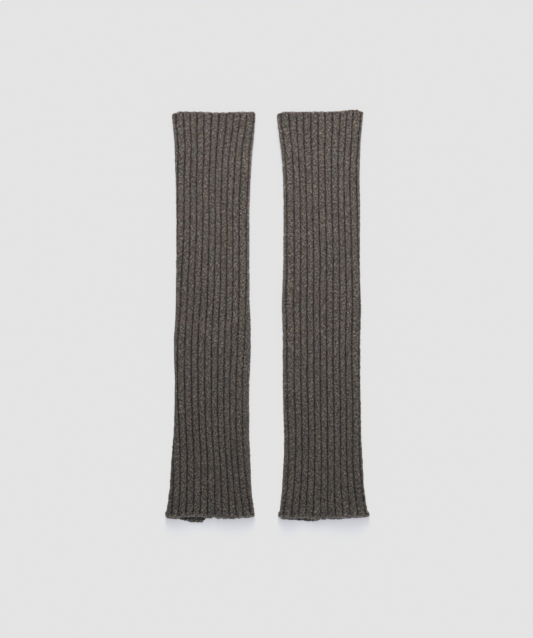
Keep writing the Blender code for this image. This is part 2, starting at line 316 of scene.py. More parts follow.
def wandering(rng, columns, along, length):
    # A slow random drift along the tube, one for each column: random values a length apart,
    # joined by smooth steps.
    knots = int(along.max() / length) + 3
    values = rng.uniform(-1, 1, (knots, columns))
    cell = (along / length).astype(int)
    part = smooth(along / length - cell)[:, None]
    return values[cell] * (1 - part) + values[cell + 1] * part


def prepare(tube):
    # Eases the tube's tables, finds its place from its solid, and lets each rib stray sideways.
    tables = (sectionColumns, ribColumns, hemColumns, hemColumns)
    for (key, reach), names in zip(knit["eased"].items(), tables):
        tube[key + "Lines"] = softLines(names, tube[key], reach)
    tube["length"] = tube["sections"][-1][0]
    tube["course"] = (tube["length"] - 2 * knit["edgeIn"]) / knit["courses"]
    low, high = (np.array(corner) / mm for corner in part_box(tube["node"]))
    tube["middleX"], tube["topY"] = low[0] - tube["solidLeft"], high[1] - tube["solidTop"]
    rng = np.random.default_rng(tube["seed"])
    along = np.arange(0.0, tube["length"] + knit["wanderStep"], knit["wanderStep"])
    tube["stray"] = wandering(rng, knit["ribs"], along, knit["wanderLength"])


def creaseHeight(tube, across, down):
    # The sum of soft bumps, each a bell that is long one way and narrow the other.
    total = np.zeros_like(across)
    for x, y, long, wide, turn, high in tube["creases"]:
        c, s = math.cos(math.radians(turn)), math.sin(math.radians(turn))
        along = ((down - y) * c + (across - x) * s) / long
        beside = ((across - x) * c - (down - y) * s) / wide
        total = total + high * np.exp(-(along**2 + beside**2))
    return total


def ribPlace(tube, fromMiddle, down):
    # Where a rib lies across: straight lines between the seven drawn ones, bent at each, and
    # on at the same pitch past the last. The rib beside the seam is wider by its extra.
    along, lines = tube["ribsLines"]
    lines = [np.interp(down, along, line) for line in lines.values()]
    pitches = [(b - a) / step for a, b, step in zip(lines, lines[1:], np.diff(ribsDrawn))]
    place = lines[0] + (fromMiddle - ribsDrawn[0]) * pitches[0]
    for knot, before, after in zip(ribsDrawn[1:], pitches, pitches[1:]):
        place = place + (after - before) * np.clip(fromMiddle - knot, 0, None)
    side = np.sign(tube["seamRib"])
    beyond = np.clip(side * (fromMiddle - tube["seamRib"]) + 0.5, 0, 1)
    return place + side * knit["seamRibExtra"] * beyond


def tubePoints(tube, rib, down, inset, inner=False):
    # A flattened tube: straight above and below, a half circle at each fold. rib counts
    # round the knit from the left end of the upper ribs, down is mm from the top hem, and
    # inset is mm in from the crests, or out from a plain inside. Returns points in metres
    # and the outward direction at each.
    rib, down, inset = (np.asarray(v, float) for v in np.broadcast_arrays(rib, down, inset))
    along, lines = tube["sectionsLines"]
    row = {name: np.interp(down, along, line) for name, line in lines.items()}
    halfWidth = (row["right"] - row["left"]) / 2
    middle = (row["right"] + row["left"]) / 2
    radius = row["height"] / 2
    straight = halfWidth - radius
    girth = 4 * straight + 2 * math.pi * radius
    upper, half = knit["upperRibs"], knit["upperRibs"] / 2
    # The lower ribs share out what the upper ones leave of the girth.
    first, last = ribPlace(tube, -half, down), ribPlace(tube, half, down)
    under = last + (girth - last + first) * (rib - upper) / (knit["ribs"] - upper)
    place = np.where(rib <= upper, ribPlace(tube, rib - half, down), under) - middle
    strayRow = np.clip(down // knit["wanderStep"], 0, len(tube["stray"]) - 2).astype(int)
    wholeRib = np.floor(rib).astype(int)
    part = rib - wholeRib
    before, after = (tube["stray"][strayRow, (wholeRib + on) % knit["ribs"]] for on in (0, 1))
    place = place + knit["wander"] * (before * (1 - part) + after * part)
    place = (place + girth / 2) % girth - girth / 2
    # Out from the middle of the upper face, on either side, comes a fold, then the underside.
    far, side = np.abs(place), np.sign(place)
    turn = np.clip((far - straight) / radius, 0, math.pi)
    flat = np.where(far <= straight, far, np.where(turn < math.pi, straight, girth / 2 - far))
    lowerLayer = smooth(turn / math.pi)
    outX, outZ = side * np.sin(turn), np.cos(turn)
    if inner:
        # The inside keeps the same places round, on a smaller ring.
        low, high = knit["wallBottom"], row["height"] - knit["wallTop"]
        ring, halfInside = (high - low) / 2, halfWidth - knit["wallFold"]
        x = side * (flat / straight * (halfInside - ring) + ring * np.sin(turn))
        z = low + ring * (1 + np.cos(turn))
        reach = halfInside - np.abs(x)
        x, z = x + outX * inset, z + outZ * inset
    else:
        x = side * (flat + radius * np.sin(turn))
        z = radius * (1 + np.cos(turn))
        reach = halfWidth - np.abs(x)
        pressed = smooth((turn / math.pi - knit["pressFrom"]) / (1 - knit["pressFrom"]))
        inset = inset * (1 - (1 - knit["underRelief"]) * pressed) - knit["fuller"] * np.sin(turn)
        x, z = x - outX * inset, z - outZ * inset
    spare = row["height"] - knit["wallTop"] - knit["wallBottom"] - knit["layersApart"]
    sunk = spare * smooth(reach / knit["foldSpread"])
    x, y = x + middle, -down
    crest = np.sin(math.pi * part) ** 2
    for end, away, way in (("top", down, 1), ("bottom", tube["length"] - down, -1)):
        across, lines = tube[end + "HemLines"]
        near = smooth(1 - away / knit["hemReach"])
        out = np.interp(x, across, lines["upper"]) * (1 - lowerLayer)
        out = out + np.interp(x, across, lines["lower"]) * lowerLayer
        scallop = knit[end + "Scallop"] * (crest - 0.5) * smooth(1 - away / knit["scallopReach"])
        y = y + way * (near * (out - knit["edgeBack"]) + scallop)
        sunk = sunk - near * np.interp(x, across, lines["raised"])
    sunk = sunk - creaseHeight(tube, x, down) * smooth(reach / knit["creaseSpread"])
    z = z - sunk * (1 - lowerLayer)
    if inner:
        # Where the upper layer is pressed down, it gets thinner and doesn't cut the lower.
        z = np.maximum(z, knit["wallBottom"] + knit["leastGap"] * (1 - lowerLayer))
    points = np.stack([x + tube["middleX"], y + tube["topY"], z], axis=-1) * mm
    return points, np.stack([outX, np.zeros_like(outX), outZ], axis=-1)


def gridFaces(ids):
    # Quads of a closed grid of point numbers, rows down the tube and columns round it.
    right = np.roll(ids, -1, axis=1)
    return np.stack([ids[:-1], ids[1:], right[1:], right[:-1]], axis=-1).reshape(-1, 4)


def bridge(idsA, placeA, idsB, placeB):
    # Triangles between two closed rings with unlike counts: each side steps on in turn, in
    # the order of their places round.
    nextA, nextB = np.append(placeA[1:], placeA[0] + 1), np.append(placeB[1:], placeB[0] + 1)
    atB = np.searchsorted(nextB, nextA, side="left") % len(idsB)
    atA = np.searchsorted(nextA, nextB, side="right") % len(idsA)
    stepA = np.stack([idsA, np.roll(idsA, -1), idsB[atB]], axis=-1)
    stepB = np.stack([idsA[atA], np.roll(idsB, -1), idsB], axis=-1)
    return np.concatenate([stepA, stepB])


def meshOf(name, points, faceSets):
    # faceSets are arrays of quads or triangles, each smooth. What the cloth lies on presses
    # it flat, so no point is below it.
    mesh = bpy.data.meshes.new(name)
    points = np.maximum(points, (-np.inf, -np.inf, 0))
    counts = np.concatenate([np.full(len(f), f.shape[1], np.int32) for f in faceSets])
    corners = np.concatenate([f.ravel() for f in faceSets]).astype(np.int32)
    mesh.vertices.add(len(points))
    mesh.vertices.foreach_set("co", points.astype(np.float32).ravel())
    mesh.loops.add(len(corners))
    mesh.loops.foreach_set("vertex_index", corners)
    mesh.polygons.add(len(counts))
    mesh.polygons.foreach_set("loop_start", (np.cumsum(counts) - counts).astype(np.int32))
    mesh.update(calc_edges=True)
    mesh.shade_smooth()
    piece = bpy.data.objects.new(name, mesh)
    wearables.objects.link(piece)
    print(name, len(counts), "faces")
    return piece


def walesAt(rib):
    # Knit columns counted round the tube: four to a rib, two of them hidden in the groove.
    wholeRibs, share = np.divmod(rib, 1)
    return 4 * wholeRibs + np.interp(share, knit["waleEnds"], np.arange(5))


def gridMap(across, along, turned=False):
    # The map's two values at each corner of gridFaces' quads, in their order, or turned.
    corner = np.arange(len(across) - 1)[:, None] + np.array([0, 0, 1, 1])
    rowCorner = np.arange(len(along) - 1)[:, None, None] + np.array([0, 1, 1, 0])
    both = np.stack(np.broadcast_arrays(across[corner], along[rowCorner]), axis=-1)
    return (both[..., ::-1, :] if turned else both).reshape(-1, 2)


def columnsRound():
    # Every place round the tube: the finely worked upper ribs, then the coarser under ones.
    kinds = ((ribPlaces, 0, knit["upperRibs"]), (underPlaces, knit["upperRibs"], knit["ribs"]))
    ribs = [np.arange(first, last)[:, None] + places["share"] for places, first, last in kinds]
    columns = {"rib": np.concatenate([rib.ravel() for rib in ribs])}
    for key in ("deep", "between", "lean"):
        tiled = [np.tile(places[key], last - first) for places, first, last in kinds]
        columns[key] = np.concatenate(tiled)
    return columns


def stitchRows(tube, columns):
    # Where the stitches lie round and down the tube, how deep, and the painted shade of their
    # grooves. Each course is two rows, along the stitches' legs and between them, and
    # down = course + drift + lean, a V over each knit column,
    # inset = (deep + between + uneven) x what the folds and the bound-off hem leave of it.
    rng = np.random.default_rng(tube["seed"] + knit["seed"])
    length, course, edgeIn = tube["length"], tube["course"], knit["edgeIn"]
    rows, count = 2 * knit["courses"] + 1, len(columns["rib"])
    base = (edgeIn + np.arange(rows) * course / 2)[:, None]
    drift = wandering(rng, 1, base[:, 0], knit["driftLength"]) * knit["drift"]
    fromEnd = np.minimum(base - edgeIn, length - edgeIn - base)
    calm = smooth(fromEnd / (knit["calmCourses"] * course))
    down = base + drift * calm + knit["lean"] * course * (columns["lean"] - 0.5) * calm
    # Every stitch stands a little higher or lower, and down in the grooves every row does.
    stitches = (rows // 2 + 1, count)
    uneven = rng.normal(0, 1, stitches).repeat(2, axis=0)[:rows]
    uneven = uneven + rng.normal(0, 1, (rows, count)) * (columns["deep"] > knit["grooveFrom"])
    rough = np.interp(columns["deep"], knit["unevenDepths"], knit["unevenHigh"])
    between = np.where(np.arange(rows)[:, None] % 2 == 0, 0.0, columns["between"])
    inset = np.clip(columns["deep"] + between + uneven * rough, 0.0, None)
    # Round the folds the grooves are stretched open, and whole courses stand out or in.
    fromMiddle = columns["rib"] - knit["upperRibs"] / 2
    offMiddle = np.abs(fromMiddle)
    notUnder = smooth((knit["underRibs"] - offMiddle) / knit["underFade"])
    atFold, pastFold = (
        smooth((offMiddle - ribs) / knit["foldFade"]) * notUnder for ribs in knit["foldRibs"]
    )
    swings = rng.normal(0, knit["unevenFold"], (stitches[0], 2)).repeat(2, axis=0)[:rows]
    # The grooves' painted shade follows their depth, and fades past the folds.
    grooveShade = inset * (1 - knit["lessShadePastFold"] * pastFold)
    inset = inset * (1 - knit["openFold"] * atFold)
    inset = inset + atFold * np.where(fromMiddle < 0, swings[:, :1], swings[:, 1:])
    flattened = [smooth(1 - (length - base) / far) * flat for far, flat in knit["flattened"]]
    tight = np.maximum(*flattened)
    inset, grooveShade = (deep * (1 - tight) + knit["flatDepth"] * tight for deep in (inset, grooveShade))
    # Each place also strays a little down, and each stitch sways sideways.
    down = down + rng.normal(0, knit["unevenDown"], (rows, count)) * calm
    sway = rng.normal(0, 1, stitches) + knit["unevenAgain"] * rng.normal(0, 1, stitches)
    share = columns["rib"] % 1
    flank = np.interp(np.minimum(share, 1 - share), knit["swayAt"], knit["sway"])
    flank = flank * np.where(share > 0.5, 1, -1)
    ribs = columns["rib"] + sway.repeat(2, axis=0)[:rows] * flank * knit["unevenWide"]
    return ribs, down, inset, grooveShade


def insideOf(tube):
    # The inside: ribs the other way round, relief x sin(pi x share) squared deep, with every
    # other row sunk a little more. It is worked near the hems, where it shows.
    length = tube["length"]
    rib = np.arange(knit["ribs"] * knit["insidePlaces"]) / knit["insidePlaces"]
    worked = knit["insideFirst"] + np.arange(knit["insideWorked"]) * tube["course"] / 2
    nearEnd = np.append(worked, knit["insidePlain"])
    first, rows = knit["insideMiddle"]
    middle = np.linspace(first, length - first, rows)
    down = np.concatenate([nearEnd, middle, length - nearEnd[::-1]])
    fromEnd = np.minimum(down, length - down)
    near = smooth(1 - (fromEnd - knit["insideFull"]) / knit["insideFade"])
    valley = np.sin(math.pi * (rib % 1)) ** 2
    odd = (np.arange(len(down)) % 2)[:, None]
    plain, more = knit["insideCourse"]
    deep = knit["insideRelief"] * valley + odd * (plain + more * valley)
    points, _ = tubePoints(tube, rib, down[:, None], deep * near[:, None], inner=True)
    return rib, down, points


def knitTube(tube):
    # The whole knitted tube as one closed wall: the stitches outside, two rows at each end
    # that turn the edge in, a lip half way through the wall that stands out, and the inside.
    columns = columnsRound()
    count, length = len(columns["rib"]), tube["length"]
    ribs, down, inset, grooveShade = stitchRows(tube, columns)
    lipDown = np.array([[-knit["lipOut"]], [length + knit["lipOut"]]])
    lipDeep = np.minimum(inset[[0, -1]] + knit["lipDeep"][0], knit["lipDeep"][1])
    lips, _ = tubePoints(tube, columns["rib"], lipDown, lipDeep)
    ends = np.array(knit["endRows"])[:, None].repeat(count, axis=1)
    down = np.concatenate([ends, down, length - ends[::-1]])
    turned = np.array(knit["endTurned"])[:, None]
    inset = np.concatenate([inset[:1] + turned, inset, inset[-1:] + turned[::-1]])
    ribs, grooveShade = (np.pad(rows, ((2, 2), (0, 0)), mode="edge") for rows in (ribs, grooveShade))
    outer, outward = tubePoints(tube, ribs, down, inset)
    insideRib, insideDown, inside = insideOf(tube)
    layers = (outer, lips, inside)
    points = np.concatenate([layer.reshape(-1, 3) for layer in layers])
    ids = np.split(np.arange(len(points)), np.cumsum([layer[..., 0].size for layer in layers[:2]]))
    outerIds, lipIds, insideIds = (a.reshape(b.shape[:2]) for a, b in zip(ids, layers))
    placeOuter, placeInside = columns["rib"] / knit["ribs"], insideRib / knit["ribs"]
    faceSets = [
        gridFaces(np.vstack([lipIds[:1], outerIds, lipIds[1:]])),
        gridFaces(insideIds)[:, ::-1],
        bridge(lipIds[0], placeOuter, insideIds[0], placeInside)[:, ::-1],
        bridge(lipIds[1], placeOuter, insideIds[-1], placeInside),
    ]
    piece = meshOf(tube["name"] + "_rib_knit", points, faceSets)
    # The stitch map counts knit columns round and courses down, along the stitches' legs.
    wales = walesAt(np.append(columns["rib"], knit["ribs"]))
    insideWales = knit["insideWales"] + walesAt(np.append(insideRib, knit["ribs"]))
    rows = np.arange(len(outer) + 2) / 2
    onInside = gridMap(insideWales, insideDown / tube["course"], turned=True)
    onGrids = np.concatenate([gridMap(wales, rows), onInside])
    uv = np.zeros((len(piece.data.loops), 2), np.float32)
    uv[: len(onGrids)] = onGrids
    piece.data.uv_layers.new(name="stitches").data.foreach_set("uv", uv.ravel())
    # How much painted shade each point takes, from a rib's crest (0) to the bottom of a groove
    # (1), and how much painted highlight it takes where the fuzz catches light, on the folds and
    # at the bottom hem.
    fuzzHighlight = smooth((np.abs(outward[..., 0]) - knit["fuzzHighlightFrom"]) / knit["fuzzHighlightFade"])
    atHem = knit["hemHighlight"] * smooth((down - length) / knit["hemHighlightReach"] + 1)
    fuzzHighlight = np.maximum(fuzzHighlight, atHem)
    grooveShade = grooveShade / max(ribPlaces["deep"]) * (1 - knit["fuzzHighlightOpen"] * fuzzHighlight)
    attributes = (("grooveShade", grooveShade, 0.0), ("fuzzHighlight", fuzzHighlight, knit["fuzzHighlightInside"]))
    for name, values, within in attributes:
        each = np.full(len(points), within, np.float32)
        values = np.concatenate([values, values[:1], values[-1:]])
        each[: values.size] = values.ravel()
        piece.data.attributes.new(name, "FLOAT", "POINT").data.foreach_set("value", each)
    return piece


tubes = (leftTube, rightTube)
scene = bpy.context.scene
wearables = bpy.data.collections.new("leg_warmers")
scene.collection.children.link(wearables)

for tube in tubes:
    prepare(tube)
    tube["knitPiece"] = knitTube(tube)


# A chain of slanting loops binds each bottom hem off; shorter ones lie on the top hem's ribs.
boundEdge = {
    "called": "_bound_off_edge",
    "seed": 7,
    "atTop": False,
    "perRib": 4,
    "gather": 1.0,
    "fromEdge": 0.3,
    "long": 5.0,
    "wide": 2.1,
    "thick": 2.5,
    "slant": 26.0,
    "intoWall": 0.36,  # from the outside of the wall (0) to its inside (1)
    "follow": 0.30,  # how far the loops go down into the grooves
    "strayRound": 0.02,
    "strayDown": 0.35,
    "straySlant": 7.0,
    "straySize": (0.82, 1.18),
    "ahead": 0.08,  # how far round, in ribs, the next point is, which gives the course's way
    "sides": 8,
    "rings": 6,
}
castEdge = {
    **boundEdge,
    "called": "_cast_on_edge",
    "seed": 5,
    "atTop": True,
    "gather": 0.82,  # the loops stand together on each rib, off the grooves
    "fromEdge": 0.75,
    "long": 3.9,
    "wide": 2.0,
    "thick": 2.3,
    "slant": 34.0,
    "intoWall": 0.34,
    "follow": 0.85,
}


def unit(vectors):
    # Each vector over its own length.
    return vectors / np.linalg.norm(vectors, axis=-1, keepdims=True)


def lieOf(tube, rib, down, inset, step, level=None):
    # Points of the outside and three directions at each: along the course, to the point a
    # step further round, straight out off the knit, and beside both.
    place, out = tubePoints(tube, rib, down, inset)
    ahead, _ = tubePoints(tube, rib + step, down, inset if level is None else level)
    along = unit(ahead - place)
    out = unit(out - (out * along).sum(-1, keepdims=True) * along)
    return place, along, out, np.cross(out, along)


def repeated(faces, copies, count):
    # The same faces for each copy of a shape that has so many points.
    offset = (np.arange(copies) * count)[:, None, None]
    return [(f[None] + offset).reshape(-1, f.shape[1]) for f in faces]


def lobes(name, settings, rng, centres, along, out, beside):
    # One closed lobe for each centre: a ball of a few faces, stretched along three axes, of
    # which the first is slanted from along to beside.
    total, sides = len(centres), settings["sides"]
    stray = rng.uniform(-settings["straySlant"], settings["straySlant"], total)
    slant = np.radians(settings["slant"] + stray)[:, None]
    first = along * np.cos(slant) + beside * np.sin(slant)
    second = np.cross(out, first)
    axes = np.stack([first, second, np.cross(first, second)], axis=1)
    sizes = np.array([settings["long"], settings["wide"], settings["thick"]]) * mm
    sizes = sizes * rng.uniform(*settings["straySize"], (total, 3))
    polar = np.linspace(0, math.pi, settings["rings"] + 1)[1:-1, None]
    turn = np.arange(sides) * 2 * math.pi / sides
    body = [np.cos(polar) + 0 * turn, np.sin(polar) * np.cos(turn), np.sin(polar) * np.sin(turn)]
    body = np.stack(body, axis=-1).reshape(-1, 3)
    ball = np.concatenate([[[1.0, 0, 0]], body, [[-1.0, 0, 0]]])
    shape = ball[None] * sizes[:, None, :] / 2
    points = centres[:, None, :] + np.einsum("nvk,nkj->nvj", shape, axes)
    ids = 1 + np.arange(len(body)).reshape(-1, sides)
    head = np.stack([np.zeros(sides, int), ids[0], np.roll(ids[0], -1)], -1)
    tail = np.stack([np.full(sides, len(ball) - 1), np.roll(ids[-1], -1), ids[-1]], -1)
    faces = repeated((gridFaces(ids), head, tail), total, len(ball))
    return meshOf(name, points.reshape(-1, 3), faces)


def hemLoops(tube, settings):
    # One loop for each stitch, round the hem's outer edge, each lying on the next.
    rng = np.random.default_rng(tube["seed"] + settings["seed"])
    total = knit["ribs"] * settings["perRib"]
    wholeRib, share = np.divmod((np.arange(total) + 0.5) / settings["perRib"], 1)
    rib = wholeRib + 0.5 + (share - 0.5) * settings["gather"]
    rib = rib + rng.uniform(-settings["strayRound"], settings["strayRound"], total)
    edge = settings["fromEdge"] + rng.uniform(-settings["strayDown"], settings["strayDown"], total)
    down = edge if settings["atTop"] else tube["length"] - edge
    shares, depths = ribPlaces["share"], ribPlaces["deep"]
    inset = np.interp(rib % 1, (*shares, 1.0), (*depths, depths[0])) * settings["follow"]
    outside, *lie = lieOf(tube, rib, down, inset, settings["ahead"])
    inside, _ = tubePoints(tube, rib, down, 0, inner=True)
    centres = outside + (inside - outside) * settings["intoWall"]
    return lobes(tube["name"] + settings["called"], settings, rng, centres, *lie)


seam = {
    "seed": 9,
    "everyCourses": 2,
    "coursesIn": (3, 2),  # where it starts and stops, from the top and the bottom hem
    "long": 2.6,
    "wide": 0.9,
    "thick": 0.8,
    "deep": 1.35,
    "slant": 20.0,
    "strayDown": 0.25,
    "strayDeep": 0.15,
    "straySlant": 14.0,
    "straySize": (0.85, 1.15),
    "ahead": 0.05,
    "sides": 6,
    "rings": 4,
}


def joiningSeam(tube):
    # The stitches that close the tube, as short bars across the groove beside the inner fold.
    rng = np.random.default_rng(tube["seed"] + seam["seed"])
    edgeRib = tube["seamRib"] + (0.5 if tube["seamRib"] > 0 else -0.5)
    start, stop = (courses * tube["course"] for courses in seam["coursesIn"])
    down = np.arange(start, tube["length"] - stop, seam["everyCourses"] * tube["course"])
    down = down + rng.normal(0, seam["strayDown"], len(down))
    rib = np.full(len(down), knit["upperRibs"] / 2 + edgeRib)
    deep = seam["deep"] + rng.uniform(-seam["strayDeep"], seam["strayDeep"], len(down))
    lie = lieOf(tube, rib, down, deep, seam["ahead"], level=seam["deep"])
    return lobes(tube["name"] + "_joining_seam", seam, rng, *lie)


halo = {
    "seed": 13,
    "count": 3200,
    "long": (2.2, 6.0),
    "thick": 0.075,
    "taper": 0.35,  # what is left of that at the ends
    "lift": (0.25, 1.3),  # how far off the knit a fibre's middle stands
    "root": 0.15,  # how far its ends are below where it starts
    "inset": 0.25,
    "curl": 0.9,
    "offFolds": 0.4,  # of a rib
    "offHems": 0.5,
    "groove": 0.14,  # how near a groove is too near, in ribs, and the step off it
    "offGroove": 0.3,
    "ahead": 0.05,
    "rings": 4,
    "sides": 3,
}


def woolHalo(tube):
    # Loose fibres that stand off the yarn: each a thin three-sided thread along a curve that
    # leaves the knit and comes back, p(s) = start + s*length*way + lift*sin(pi*s)*out + curl.
    rng = np.random.default_rng(tube["seed"] + halo["seed"])
    count, rings, sides = halo["count"], halo["rings"], halo["sides"]
    rib = rng.uniform(halo["offFolds"], knit["upperRibs"] - halo["offFolds"], count)
    down = rng.uniform(halo["offHems"], tube["length"] - halo["offHems"], count)
    share = rib % 1
    tooNear = np.minimum(share, 1 - share) < halo["groove"]
    rib = rib - np.where(tooNear, halo["offGroove"] * np.sign(share - 0.5), 0)
    start, along, out, beside = lieOf(tube, rib, down, halo["inset"], halo["ahead"])
    heading = rng.uniform(0, 2 * math.pi, count)[:, None]
    way = along * np.cos(heading) + beside * np.sin(heading)
    across = np.cross(out, way)
    s = np.linspace(0, 1, rings)[None, :, None]
    long = rng.uniform(*halo["long"], count)[:, None, None] * mm
    lift = rng.uniform(*halo["lift"], count)[:, None, None] * mm
    curl = rng.normal(0, halo["curl"], (count, 1, 1)) * mm
    path = start[:, None] + way[:, None] * (s - 0.5) * long
    path = path + out[:, None] * (lift * np.sin(math.pi * s) - halo["root"] * mm)
    path = path + across[:, None] * curl * (4 * s * (1 - s) - 0.5)
    corner = np.arange(sides) * 2 * math.pi / sides
    swell = halo["taper"] + (1 - halo["taper"]) * np.sin(math.pi * s)
    side = across[:, None, None] * np.cos(corner)[:, None]
    side = side + out[:, None, None] * np.sin(corner)[:, None]
    points = path[:, :, None] + side * (halo["thick"] / 2 * mm * swell)[..., None]
    ids = np.arange(rings * sides).reshape(rings, sides)
    faces = repeated((gridFaces(ids)[:, ::-1], np.stack([ids[0], ids[-1][::-1]])), count, ids.size)
    return meshOf(tube["name"] + "_wool_halo", points.reshape(-1, 3), faces)


for tube in tubes:
    tube["edges"] = [
        hemLoops(tube, boundEdge),
        hemLoops(tube, castEdge),
        joiningSeam(tube),
        woolHalo(tube),
    ]


class Value:
    # A socket with number maths: each operator adds a Math node.
    def __init__(self, recipe, socket):
        self.recipe, self.socket = recipe, socket

    def __add__(self, other):
        return self.recipe.maths("ADD", self, other)

    def __sub__(self, other):
        return self.recipe.maths("SUBTRACT", self, other)

    def __rsub__(self, other):
        return self.recipe.maths("SUBTRACT", other, self)

    def __mul__(self, other):
        return self.recipe.maths("MULTIPLY", self, other)

    __radd__, __rmul__ = __add__, __mul__


class Recipe:
    # Builds one material: node() adds any node, with its settings first and its inputs after.
    def __init__(self, name):
        self.material = bpy.data.materials.new(name)
        self.material.use_nodes = True
        self.tree = self.material.node_tree
        self.shader = self.tree.nodes["Principled BSDF"]

    def node(self, kind, settings, inputs, output=0):
        node = self.tree.nodes.new("ShaderNode" + kind)
        for key, value in settings.items():
            setattr(node, key, value)
        self.feed(node, inputs)
        return Value(self, node.outputs[output])

    def feed(self, node, inputs):
        for key, value in inputs.items():
            if isinstance(value, Value):
                self.tree.links.new(value.socket, node.inputs[key])
            else:
                node.inputs[key].default_value = value

    def maths(self, operation, *values):
        return self.node("Math", {"operation": operation}, dict(enumerate(values)))

    def noise(self, coords, scale, detail=2.0, rough=0.5, output=0):
        inputs = {"Vector": coords, "Scale": scale, "Detail": detail, "Roughness": rough}
        return self.node("TexNoise", {}, inputs, output)

    def cells(self, coords, dimensions):
        settings = {"voronoi_dimensions": dimensions, "feature": "SMOOTH_F1"}
        inputs = {"Vector": coords, "Scale": 1.0, "Smoothness": wool["blur"], "Randomness": 1.0}
        return self.node("TexVoronoi", settings, inputs, "Color")

    def channel(self, colour, output):
        return self.node("SeparateColor", {}, {0: colour}, output)

    def attribute(self, name):
        return self.node("Attribute", {"attribute_name": name}, {}, "Fac")

    def vector(self, operation, first, second=(0, 0, 0)):
        # Of one vector or two, or for SCALE of a vector and a number.
        inputs = {0: first, "Scale" if operation == "SCALE" else 1: second}
        return self.node("VectorMath", {"operation": operation}, inputs)

    def spread(self, value, low, high, start=0.0, stop=1.0, times=1.0):
        # A smooth step from start to stop as the value goes from low to high.
        inputs = {"Value": value, "From Min": low, "From Max": high}
        inputs.update({"To Min": start * times, "To Max": stop * times})
        return self.node("MapRange", {"interpolation_type": "SMOOTHSTEP"}, inputs)

    def mix(self, factor, first, second):
        inputs = {0: factor, 6: first, 7: second}
        return self.node("Mix", {"data_type": "RGBA"}, inputs, 2)


wool = {
    "dark": (0.026, 0.024, 0.024, 1),
    "ground": (0.1030, 0.0925, 0.0842, 1),
    "tan": (0.173, 0.130, 0.100, 1),
    "grey": (0.104, 0.108, 0.102, 1),
    "pale": (0.265, 0.243, 0.225, 1),
    # Which of a fleck's chances brings each colour in, from where to where, and how much of it.
    "heather": (
        ("hue", 0.60, 0.85, 0.62, "tan"),
        ("hue", 0.38, 0.15, 0.62, "grey"),
        ("lightness", 0.82, 0.96, 0.35, "pale"),
        ("depth", 0.80, 0.93, 0.55, "dark"),
    ),
    "flecks": (2.0, 2.2, 1.0),  # of colour, for each knit column and each course
    "strands": (3.0, 9.0, 1.0),  # finer streaks along the yarn
    "fraying": (4.0, 12.0, 1.0),
    "frayed": 0.9,
    "strandsFrayed": 2.0,
    "blur": 0.35,
    "besides": ((1.35, 0.0, 0.0), (0.0, 2.2, 0.0)),  # in flecks
    "unlike": 0.30,  # how far a fleck differs from the ones beside and below it
    "fleckScale": 800.0,  # off the knit, where there is no stitch map
    "strandScale": 2400.0,
    "fibreScale": 1500.0,
    "fibreDetail": 2.0,
    "fibreRough": 0.6,
    "patchScale": 62.0,
    "patchDetail": 1.0,
    "mottleScale": 95.0,
    "mottle": (0.30, 0.15, 0.38),  # how far red, green and blue stray by themselves
    # Each measure's value at its two ends, and what is left of the colour at each of them.
    "fleckTone": (0.08, 0.92, 0.365, 1.72),
    "strandTone": (0.1, 0.9, 0.80, 1.20),
    "patchTone": (0.3, 0.7, 0.93, 1.07),
    "fibreTone": (0.3, 0.7, 0.72, 1.28),
    "stitchTone": (0.0, 1.0, 0.87, 1.13),
    "paintedGrooveTone": (0.15, 0.9, 1.0, 0.15),  # painted shade, of how deep in a groove it is
    "fuzzHighlightTone": (0.0, 1.0, 1.0, 1.34),  # painted highlight, of how much the fuzz catches light
    "courseShadeTone": (0.5, 1.0, 1.0, 0.55),  # painted shade between two courses
    "legShadeTone": (0.6, 1.0, 1.0, 0.80),  # painted shade between a stitch's two legs
    "yarnRound": (0.3, 1.0, 0.9, 0.0),  # how high the yarn stands, from its middle to a crease
    "plyTurns": 5.0,  # of the plies, for each knit column
    "plyHigh": 0.35,
    "bumpHigh": 0.00022,
    "bumpStrength": 0.8,
    "roughness": 0.93,
    "gloss": 0.25,
    "sheen": 0.20,
    "sheenRoughness": 0.6,
}


